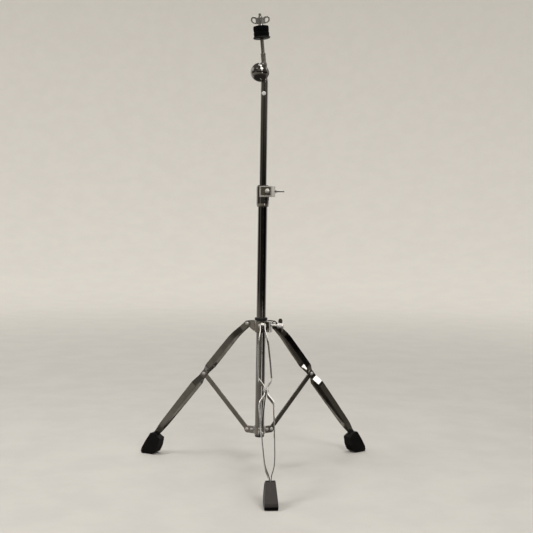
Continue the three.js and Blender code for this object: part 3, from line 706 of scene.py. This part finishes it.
def wing_bolt():
    m = TOWER @ rz(BOLT_AZ) @ tr(0, 0, BOLT_Z) @ ry(90)
    hub = lathe("hub", [(0, 46.5), (3.2, 46.5), (5.2, 48), (7, 50.5), (7, 58), (6.4, 63), (4.6, 65.6), (0, 66)], m, 40, 0.8)
    ear = [(51.5, 2), (50.6, 8), (51.2, 15), (53, 18.4), (56.6, 19.4), (60, 18.2), (61.6, 14.6), (61.4, 7), (61, 2)]
    wings = []
    for sgn in (1, -1):
        outline = fillet([(x, sgn * z) for x, z in ear], 2.5, 4, True)
        wings.append(cheek("wing", outline, -1.9, 1.9, TOWER @ rz(BOLT_AZ) @ tr(0, 0, BOLT_Z)))
    boolean(hub, wings, 'UNION')
    soften(hub, 0.32, 5, 0.35)
    shank = threaded("shank", 3.0, 0.5, 1.0, 16, 48, m, 28, 0.1)
    return join("leg_wing_bolt", [hub, shank])


def bolt_faces(poly):
    """1: the hub, painted highlight (lighter metal); 2: the wings, painted shade (darker metal)."""
    c = BOLT_BACK @ (poly.center / MM)
    if c.x < 46:
        return 0
    return 2 if abs(c.z) > 7.2 else 1


BOLT_BACK = (TOWER @ rz(BOLT_AZ) @ tr(0, 0, BOLT_Z)).inverted()
# painted highlight on the hub and painted shade on the wings of one plated casting
done(wing_bolt(), "screw", "collar_wing_bolt", "collar_wing_bolt", sharp=50, even=True, paint=(("satin_lit", "wing"), bolt_faces))

# ------------------------------------------------------------------ height clamp
CL = TOWER @ rz(CLAMP_AZ)


def height_clamp():
    o = lathe("tube_clamp", [(0, CLAMP_Z0), (15.2, CLAMP_Z0), (16.4, CLAMP_Z0 + 4), (CLAMP_R, CLAMP_Z0 + 9), (CLAMP_R, CLAMP_Z1 - 1.5),
                             (CLAMP_R - 1.2, CLAMP_Z1), (0, CLAMP_Z1)], CL, 72, 0.6)
    near = prism("near_ear", [(-1.4, -EAR_FACE + 1), (0, -EAR_FACE), (EAR_NEAR - 1.5, -EAR_FACE), (EAR_NEAR, -EAR_FACE + 1.5), (EAR_NEAR, -SLIT), (-1.4, -SLIT)],
                 EAR_Z0, CLAMP_Z1, CL)
    far = prism("far_ear", [(0, SLIT), (EAR_FAR, SLIT), (EAR_FAR, EAR_HALF - 2), (EAR_FAR - 2, EAR_HALF), (0, EAR_HALF)], EAR_Z0, CLAMP_Z1, CL)
    boolean(o, [near, far], 'UNION')
    frame_cut = block("frame_cut", 2.8, EAR_NEAR - 3, -EAR_FACE - 5, -EAR_FACE + FRAME_DEEP + 0.2, EAR_Z0 + 3.2, CLAMP_Z1 - 3.2, CL)
    cuts = [cyl("b1", BASE_R + 0.35, 650, BASE_Z1 + 0.3, CL, 72), cyl("b2", 12.8, 700, 800, CL, 72),
            block("slit", 6, 60, -SLIT, SLIT, 716, 800, CL),
            cyl("b3", 3.6, -40, 40, CL @ tr(CLAMP_BOLT_S, 0, CLAMP_BOLT_Z) @ rx(90), 32), frame_cut]
    boolean(o, cuts, 'DIFFERENCE')
    return soften(o, 0.45, 6, 0.35)


def clamp_faces(poly):
    """1: the raised rim and the ear's end, painted highlight (lighter metal); 2: the sunk panel, painted shade (darker
    metal).
    """
    c = CL_BACK @ (poly.center / MM)
    n = CL_TURN @ poly.normal
    if n.y < -0.5 and c.x > -1.0 and c.z > EAR_Z0 and c.y < -EAR_FACE + 2.2:
        inside = 3.2 < c.x < EAR_NEAR - 3.4 and EAR_Z0 + 3.6 < c.z < CLAMP_Z1 - 3.6
        return 2 if inside and c.y > -EAR_FACE + 0.5 * FRAME_DEEP else 1
    return 1 if n.x > 0.6 and c.x > EAR_NEAR - 2.5 else 0


CL_BACK = CL.inverted()
CL_TURN = CL_BACK.to_3x3()
# painted highlight on the rim and ear end, painted shade in the sunk panel
done(height_clamp(), "cast", "base", "height_clamp", sharp=60, even=True, paint=(("rim", "panel"), clamp_faces))


def clamp_bolt():
    m = CL @ tr(CLAMP_BOLT_S, 0, CLAMP_BOLT_Z) @ rx(90)
    zh = EAR_FACE - FRAME_DEEP + 0.3
    head = lathe("head", [(0, zh + 4.6)] + [(6.6 * math.sin(rad(a)), zh + 4.6 * math.cos(rad(a)), 0) for a in (18, 36, 54, 70, 82)] + [(6.6, zh, 0), (0, zh)],
                 m, 40, 0)
    # the threaded end points away from the head
    shaft = threaded("shaft", 3.0, 0.5, 1.0, -zh - 0.2, 35.2, m @ rx(180), 28, 0.9)
    return join("clamp_bolt", [head, shaft])


done(clamp_bolt(), "screw", "base", "height_clamp_bolt", sharp=50)


def clamp_nut():
    at = CL @ tr(CLAMP_BOLT_S, 0, CLAMP_BOLT_Z)
    o = lathe("hub", [(0, -13.4), (8.2, -13.4), (8.2, -15.4), (6.6, -17.5), (5.4, -27), (4.9, -28.4), (0, -28.4)], at @ rx(90), 40, 0.6)
    wing = [(3, 16.4), (9, 17), (15, 20.3), (21, 24.6), (24.9, 29.5), (24.4, 33.2), (21.6, 34.8), (18, 33.4), (13, 29.4), (8, 26.2), (3, 25.4)]
    wings = []
    for sgn in (1, -1):
        wings.append(prism("wing", fillet([(sgn * x, y) for x, y in wing], 3, 4, True), -1.75, 1.75, at))
    boolean(o, wings, 'UNION')
    boolean(o, [cyl("hole", 3.35, -60, 0, at @ rx(90), 28)], 'DIFFERENCE')
    return soften(o, 0.32, 5, 0.35)


done(clamp_nut(), "nut", "height_wing_nut", "height_wing_nut", sharp=60, name="clamp_wing_nut", even=True)
done(lathe("tube_bush", [(9.85, BASE_Z1 + 1.2), (12.4, BASE_Z1 + 1.2), (12.4, CLAMP_Z1 + 0.3), (14.2, CLAMP_Z1 + 0.3), (14.2, CLAMP_Z1 + 1.6), (13.2, CLAMP_Z1 + 2.4), (9.85, CLAMP_Z1 + 2.4)],
           TOWER, 72, 0.3, 3, True), "nylon", "bush", "height_bush")

# ------------------------------------------------------------------ upper tube and tilter
done(lathe("inner_tube", [(8.325, UP_Z0), (UP_R, UP_Z0), (UP_R, UP_Z1), (8.325, UP_Z1)], TOWER, 80, 0.35, 3, True), "tube", "upper_tube", "upper_tube")
PIN_M = TOWER @ tr(0, 0, 994.6) @ rz(-102) @ ry(90)
done(lathe("cross_pin", [(0, -UP_R - 0.9), (2.3, -UP_R - 0.9), (2.5, -UP_R - 0.4), (2.5, UP_R + 0.55, 0), (5.6, UP_R + 0.55), (5.6, UP_R + 1.7), (4.2, UP_R + 3), (0, UP_R + 3.3)],
           PIN_M, 40, 0.5), "satin_lit", "upper_tube", "tilter_pin")
RG = TOWER @ tr(0, 0, PIVOT_Z) @ rz(RATCHET_AZ)


def toothed(r0, r1, count):
    out = []
    for k in range(count):
        for f, r in ((0.0, r0), (0.28, r0), (0.5, r1), (0.78, r1)):
            a = 2 * math.pi * (k + f) / count
            out.append((r * math.cos(a), r * math.sin(a)))
    return out


def tilter_base():
    t = UP_Z1 - PIVOT_Z
    o = lathe("tilter_foot", [(0, t - 46), (7.4, t - 46), (8, t - 44), (8, t + 0.3), (UP_R, t + 0.3), (UP_R, t + 5), (8.4, t + 9), (8.4, -8.6), (7.2, -7.4), (0, -7.4)], RG, 64, 0.5)
    disc = prism("disc", toothed(13.1, 14, 30), -3.4, 5, RG @ ry(90))
    boolean(o, [disc], 'UNION')
    boolean(o, [cyl("b", 4.2, -20, 20, RG @ ry(90), 32), block("relief", 5, 20, -20, 20, -20.6, 10, RG)], 'DIFFERENCE')
    return soften(o, 0.36, 3, 0.4)


done(tilter_base(), "neck", "upper_tube", "tilter_base", sharp=60, even=True)
done(lathe("ratchet_bolt", [(0, -7.4), (4.4, -7.2), (6.2, -5.9), (6.8, -3.7, 0), (4, -3.7, 0), (4, 24, 0), (0, 24)], RG @ ry(90), 40, 0.5), "screw", "upper_tube", "tilter_pivot_bolt")


def knob():
    prof = [(0, 42.6)] + [(24.6 * math.sin(rad(a)), 18 + 24.6 * math.cos(rad(a)), 0) for a in range(4, 88, 4)]
    prof += [(24.6, 18.4, 0.3), (24.6, 17.9, 0.2), (25, 17.4, 0.4), (25, 14.6, 1), (23.8, 13.4, 0.8), (20.6, 13.4, 0.6), (19.4, 25, 2), (9, 25, 2),
             (9, 13.4, 0.4), (4.4, 13.4, 0.3), (4.4, 24.6, 0), (0, 24.6)]
    return lathe("domed_knob", prof, RG @ ry(90), 96, 0.5, 5)


done(knob(), "dome", "tilter_knob", "tilter_knob", sharp=50)

HEAD = RG @ rx(LEAN)
ROD = HEAD @ ry(CRANK)


def tilter_head():
    o = prism("rod_head", toothed(19.2, 20, 44), 5.4, 13, HEAD @ ry(90))
    neck = [(-3.6, 16.6), (-3.6, 22), (-2.2, 28), (7.4, 28), (8.8, 22), (11.2, 17.5), (13, 12), (13, 0), (5.4, 0), (5.4, 16.6)]
    boolean(o, [cheek("neck", fillet(neck, 1.6, 4, True), -5.8, 5.8, HEAD),
                lathe("ferrule", [(0, 22.5), (5, 22.5), (6.7, 25), (6.7, 47.2), (7.1, 47.9), (7.1, 50.5), (6.6, 51), (0, 51)], ROD, 56, 0.4)], 'UNION')
    boolean(o, [cyl("b", 4.2, 0, 20, HEAD @ ry(90), 32), cyl("socket", 5.25, 31.7, 60, ROD, 56)], 'DIFFERENCE')
    return soften(o, 0.36, 3, 0.4)


done(tilter_head(), "neck", "tilter_head", "tilter_head", sharp=60, even=True)


def rod():
    low = lathe("low", [(0, 32), (5, 32), (5, 88.2), (4, 88.2, 0.1), (4, 121, 0), (0, 121)], ROD, 56, 0.3)
    top = threaded("top", 4.0, 0.55, 1.25, 120.9, 153.8, ROD, 40, 1.0)
    return join("cymbal_spindle", [low, top])


done(rod(), "rod", "tilter_head", "cymbal_rod", sharp=50)
# near-black washer: painted shade for its dark reflections
done(lathe("cup_disc", [(4.4, 88.5), (19.4, 88.5, 1.5), (21.4, 89.1, 0.8), (22.2, 90.2, 0.6), (22.2, 92.9), (21.1, 92.9), (20.9, 91.7, 0.6), (19.8, 90.8, 0.8), (4.4, 90.8)],
           ROD, 96, 0.35, 4, True), "disc", "tilter_head", "cup_washer")
done(lathe("spindle_sleeve", [(4.4, 91.1), (9, 91.1), (9, 91.9), (5.6, 92.1), (5.6, 120.4), (4.4, 120.4)], ROD, 48, 0.2, 3, True),
     "nylon", "tilter_head", "rod_sleeve")


def felt(name, z, seed):
    """A pressed felt washer: rounded shoulders, sides a little slack, and an uneven nap."""
    h, r = 14.0, 20.4
    prof = []
    for k in range(0, 15):                       # underside
        prof.append((6 + (18.6 - 6) * k / 14, 0.0))
    for k in range(1, 7):
        a = rad(90 * k / 6)
        prof.append((18.6 + 1.5 * math.sin(a), 1.6 - 1.6 * math.cos(a)))
    for k in range(1, 14):
        t = k / 14
        prof.append((20.1 + 0.28 * math.sin(math.pi * t) - 0.12 * math.sin(2 * math.pi * t), 1.6 + (h - 3.2) * t))
    for k in range(0, 7):
        a = rad(90 * k / 6)
        prof.append((18.6 + 1.5 * math.cos(a), h - 1.6 + 1.6 * math.sin(a)))
    for k in range(1, 15):
        prof.append((18.6 + (6 - 18.6) * k / 14, h))
    for k in range(1, 8):
        prof.append((6.0, h - h * k / 8))
    seg = 144
    verts, faces = [], []
    for (pr, pz) in prof:
        for k in range(seg):
            a = 2 * math.pi * k / seg
            d = Vector((math.cos(a), math.sin(a), 0))
            p = d * pr + Vector((0, 0, pz))
            f = noise.noise(p * 0.16 + Vector((seed, 0, 0))) * 0.28 + noise.noise(p * 0.9 + Vector((0, seed, 0))) * 0.10
            q = pr
            zz = pz
            if pr > 18.0 and 0.2 < pz < h - 0.2:
                q = min(r, pr + f - 0.12)
            elif pr > 6.4:
                zz = pz + (abs(f) * 0.45 if pz < 1 else -abs(f) * 0.45)
            verts.append((d.x * q, d.y * q, z + zz))
    m = len(prof)
    for i in range(m):
        j = (i + 1) % m
        for k in range(seg):
            a, b = i * seg + k, i * seg + (k + 1) % seg
            c, e = j * seg + (k + 1) % seg, j * seg + k
            faces.append([a, b, c, e])
    return mesh_object(name, verts, faces, ROD)


for name, z, seed, node in (("felt_washer_low", 92.4, 3.1, "felt_lower"), ("felt_washer_high", 106.7, 8.7, "felt_upper")):
    o = done(felt(name, z, seed), "felt", node, node, sharp=70, even=True)


def felt_nut():
    o = lathe("hub", [(0, 121), (8.2, 121), (8.2, 122.8), (6.6, 125.6), (7.2, 142.2), (5.8, 145.2), (0, 145.2)], ROD, 40, 0.7)
    loop = [(3, 127.2), (12, 126.8), (19, 128.8), (24, 132.8), (25.4, 138.2), (24, 143.6), (19, 146.6), (13, 145.6), (8, 143.2), (3, 142.2)]
    eye = [(12.8, 131.2), (16, 131.4), (19, 133.1), (20.9, 136), (21.1, 139.4), (19, 142), (15.6, 141.6), (12.6, 139.2)]
    at = ROD @ rz(143)
    wings, eyes = [], []
    for sgn in (1, -1):
        wings.append(cheek("wing", fillet([(sgn * x, y) for x, y in loop], 4, 4, True), -1.7, 1.7, at))
        eyes.append(cheek("eye", fillet([(sgn * x, y) for x, y in eye], 2.4, 4, True), -4, 4, at))
    boolean(o, wings, 'UNION')
    boolean(o, eyes + [cyl("hole", 4.3, 100, 170, ROD, 28)], 'DIFFERENCE')
    return soften(o, 0.32, 5, 0.35)


done(felt_nut(), "nut", "felt_wing_nut", "felt_wing_nut", sharp=60, name="loop_wing_nut", even=True)

# ------------------------------------------------------------------ floor, world, lights


def stage():
    """Pale floor that runs up into a round backdrop, so that every side has the same ground."""
    prof = [(0.0, 0.0), (1.0, 0.0), (2.5, 0.0), (4.5, 0.0)] + [(4.5 + 3.5 * math.sin(rad(a)), 3.5 - 3.5 * math.cos(rad(a))) for a in range(6, 91, 6)] + [(8.0, 9.0)]
    seg = 96
    verts, faces = [(0, 0, 0)], []
    for (r, z) in prof[1:]:
        verts += [(r * math.cos(2 * math.pi * k / seg), r * math.sin(2 * math.pi * k / seg), z) for k in range(seg)]
    for k in range(seg):
        faces.append([0, 1 + k, 1 + (k + 1) % seg])
    for i in range(len(prof) - 2):
        for k in range(seg):
            a, b = 1 + i * seg + k, 1 + i * seg + (k + 1) % seg
            faces.append([a, a + seg, b + seg, b])
    me = bpy.data.meshes.new("floor")
    me.from_pydata(verts, [], faces)
    for p in me.polygons:
        p.use_smooth = True
    o = bpy.data.objects.new("floor", me)
    bpy.context.scene.collection.objects.link(o)
    m, nt, p = nodes_of("floor_paper")
    v = coords(nt)
    g = noise_tex(nt, v, 6, 5, 0.6)
    nt.links.new(mix_col(nt, ramp(nt, g, 0.35, 0.65, 0, 1), FLOOR_A, FLOOR_B), p.inputs["Base Color"])
    p.inputs["Roughness"].default_value = 0.9
    p.inputs["Specular IOR Level"].default_value = 0.05
    far = nt.nodes.new("ShaderNodeVectorMath")
    far.operation = 'LENGTH'
    nt.links.new(v, far.inputs[0])
    p.inputs["Emission Color"].default_value = (*WALL, 1)
    nt.links.new(ramp(nt, far.outputs["Value"], 0.9, 5.5, 0.0, 1.0), p.inputs["Emission Strength"])
    me.materials.append(m)
    # seen by the camera only: the metal mirrors the world
    o.visible_glossy = False
    o.visible_diffuse = False
    o.visible_shadow = False


def world():
    """The room that the metal mirrors, by direction. Angles are from the camera, to the right."""
    w = bpy.data.worlds.new("studio")
    bpy.context.scene.world = w
    w.use_nodes = True
    nt = w.node_tree
    nt.nodes.clear()
    out = nt.nodes.new("ShaderNodeOutputWorld")
    bg = nt.nodes.new("ShaderNodeBackground")
    nt.links.new(bg.outputs[0], out.inputs[0])
    tc = nt.nodes.new("ShaderNodeTexCoord")
    sep = nt.nodes.new("ShaderNodeSeparateXYZ")
    nt.links.new(tc.outputs["Generated"], sep.inputs[0])
    x, y, z = sep.outputs
    c, s = math.cos(rad(-4.72)), math.sin(rad(-4.72))
    side = math_node(nt, 'ADD', math_node(nt, 'MULTIPLY', x, c), math_node(nt, 'MULTIPLY', y, s))
    near = math_node(nt, 'ADD', math_node(nt, 'MULTIPLY', x, s), math_node(nt, 'MULTIPLY', y, -c))
    turn = math_node(nt, 'ARCTAN2', side, near)
    turn = math_node(nt, 'ADD', math_node(nt, 'DIVIDE', turn, 2 * math.pi), 0.5)

    def around(stops):
        r = nt.nodes.new("ShaderNodeValToRGB")
        r.color_ramp.interpolation = 'LINEAR'
        e = r.color_ramp.elements
        while len(e) > 1:
            e.remove(e[-1])
        for i, (a, v) in enumerate(stops):
            at = (a + 180) / 360
            item = e[0] if i == 0 else e.new(at)
            item.position = at
            item.color = (*v, 1) if isinstance(v, tuple) else (v * 1.10, v, v * 0.86, 1) if v < 0.2 else (v * 1.03, v, v * 0.95, 1)
        nt.links.new(turn, r.inputs[0])
        return r.outputs[0]

    col = mix_col(nt, ramp(nt, z, 0.01, 0.17, 0, 1), around(WALLS), around(HIGH))
    col = mix_col(nt, ramp(nt, z, 0.15, 0.27, 0, 1), col, around(TOP))
    low = mix_col(nt, ramp(nt, z, -0.185, -0.15, 1, 0), around(GROUND), around(CLOSE))
    low = mix_col(nt, ramp(nt, z, -0.62, -0.34, 1, 0), low, BELOW)
    # the ground ends sooner behind the stand, where the wall is close
    edge = math_node(nt, 'ADD', ramp(nt, near, -0.40, -0.15, -0.34, -0.092), ramp(nt, near, 0.60, 0.92, 0.0, -0.02))
    col = mix_col(nt, ramp(nt, math_node(nt, 'SUBTRACT', z, edge), -0.017, 0.017, 1, 0), col, low)
    col = mix_col(nt, ramp(nt, z, 0.40, 0.62, 0, 1), col, CEILING)
    for (dx, up, dn, size, glow) in SPOTS:
        l = math.sqrt(dx * dx + up * up + dn * dn)
        d = nt.nodes.new("ShaderNodeVectorMath")
        d.operation = 'DOT_PRODUCT'
        cmb = nt.nodes.new("ShaderNodeCombineXYZ")
        for k, src in enumerate((side, z, near)):
            nt.links.new(src, cmb.inputs[k])
        nt.links.new(cmb.outputs[0], d.inputs[0])
        d.inputs[1].default_value = (dx / l, up / l, dn / l)
        f = ramp(nt, d.outputs["Value"], math.cos(rad(size * 1.3)), math.cos(rad(size * 0.7)), 0, 1)
        col = mix_col(nt, f, col, (glow, glow * 0.985, glow * 0.96))
    nt.links.new(col, bg.inputs["Color"])
    bg.inputs["Strength"].default_value = 1.0


def area(name, at, aim, size, power, colour=(1, 1, 1)):
    """Soft light that the metal doesn't mirror."""
    l = bpy.data.lights.new(name, 'AREA')
    l.shape = 'RECTANGLE'
    l.size, l.size_y = size
    l.energy = power
    l.color = colour
    o = bpy.data.objects.new(name, l)
    bpy.context.scene.collection.objects.link(o)
    o.location = at
    o.rotation_euler = (Vector(aim) - Vector(at)).to_track_quat('-Z', 'Y').to_euler()
    o.visible_glossy = False
    return o


FLOOR_A, FLOOR_B = (0.41, 0.395, 0.37), (0.435, 0.42, 0.39)
WALL = (0.42, 0.395, 0.35)
WALLS = [(-180, 0.62), (-128, 0.50), (-112, 0.12), (-92, 0.012), (-60, 0.008), (-53, 0.12), (-45, 0.12), (-38, 0.006), (20, 0.010), (42, 0.001),
         (80, 0.001), (100, 0.05), (112, 0.30), (124, 0.55), (180, 0.62)]
HIGH = [(-180, 0.62), (-128, 0.52), (-112, 0.18), (-94, 0.09), (-28, 0.08), (0, 0.03), (26, 0.085), (76, 0.08), (98, 0.17), (116, 0.45), (180, 0.62)]
GROUND = [(-180, (0.30, 0.27, 0.235)), (-125, (0.22, 0.20, 0.17)), (-100, (0.17, 0.15, 0.13)), (-60, (0.205, 0.185, 0.16)), (0, (0.13, 0.116, 0.10)),
          (36, (0.10, 0.09, 0.078)), (50, (0.006, 0.005, 0.005)), (74, (0.01, 0.009, 0.008)), (96, (0.09, 0.08, 0.07)), (130, (0.22, 0.20, 0.17)),
          (180, (0.30, 0.27, 0.235))]
CLOSE = [(-180, (0.30, 0.27, 0.235)), (-125, (0.22, 0.20, 0.17)), (-60, (0.205, 0.185, 0.16)), (0, (0.13, 0.116, 0.10)), (40, (0.09, 0.08, 0.068)),
         (80, (0.075, 0.066, 0.055)), (130, (0.22, 0.20, 0.17)), (180, (0.30, 0.27, 0.235))]
TOP = [(-180, 0.62), (-128, 0.50), (-104, 0.42), (-88, 0.32), (-76, 0.035), (-34, 0.03), (-16, 0.14), (8, 0.14), (28, 0.03), (76, 0.05), (98, 0.20),
       (116, 0.5), (180, 0.62)]
BELOW = (0.030, 0.027, 0.024)
CEILING = (0.085, 0.078, 0.068)
SPOTS = [(0.438, 0.253, 0.865, 5, 1.3), (0.42, 0.42, 0.80, 5, 0.9), (0.368, 0.656, 0.669, 14, 2.8), (0.178, 0.951, 0.252, 6.5, 4.0),
         (0.078, 0.74, -0.668, 9, 2.4), (0.03, 0.99, -0.10, 12, 2.6), (-0.834, 0.481, -0.268, 9, 0.6), (-0.50, 0.62, 0.60, 6, 0.65),
         (-0.945, -0.212, -0.255, 7, 0.3), (0.514, -0.20, 0.834, 5, 1.1), (-0.775, -0.496, -0.39, 7, 0.34)]
stage()
world()
area("key", (-2.4, -0.6, 3.2), (0, 0.08, 0.2), (1.4, 1.4), 70, (1, 0.98, 0.95))
area("front", (0.9, -3.0, 2.7), (0, 0.0, 0.1), (1.2, 1.0), 60, (1, 0.98, 0.95))
area("top", (0.2, 0.4, 3.8), (0, 0.08, 0.2), (3.2, 3.2), 90, (1, 0.99, 0.97))

bpy.context.scene.view_settings.view_transform = 'Standard'
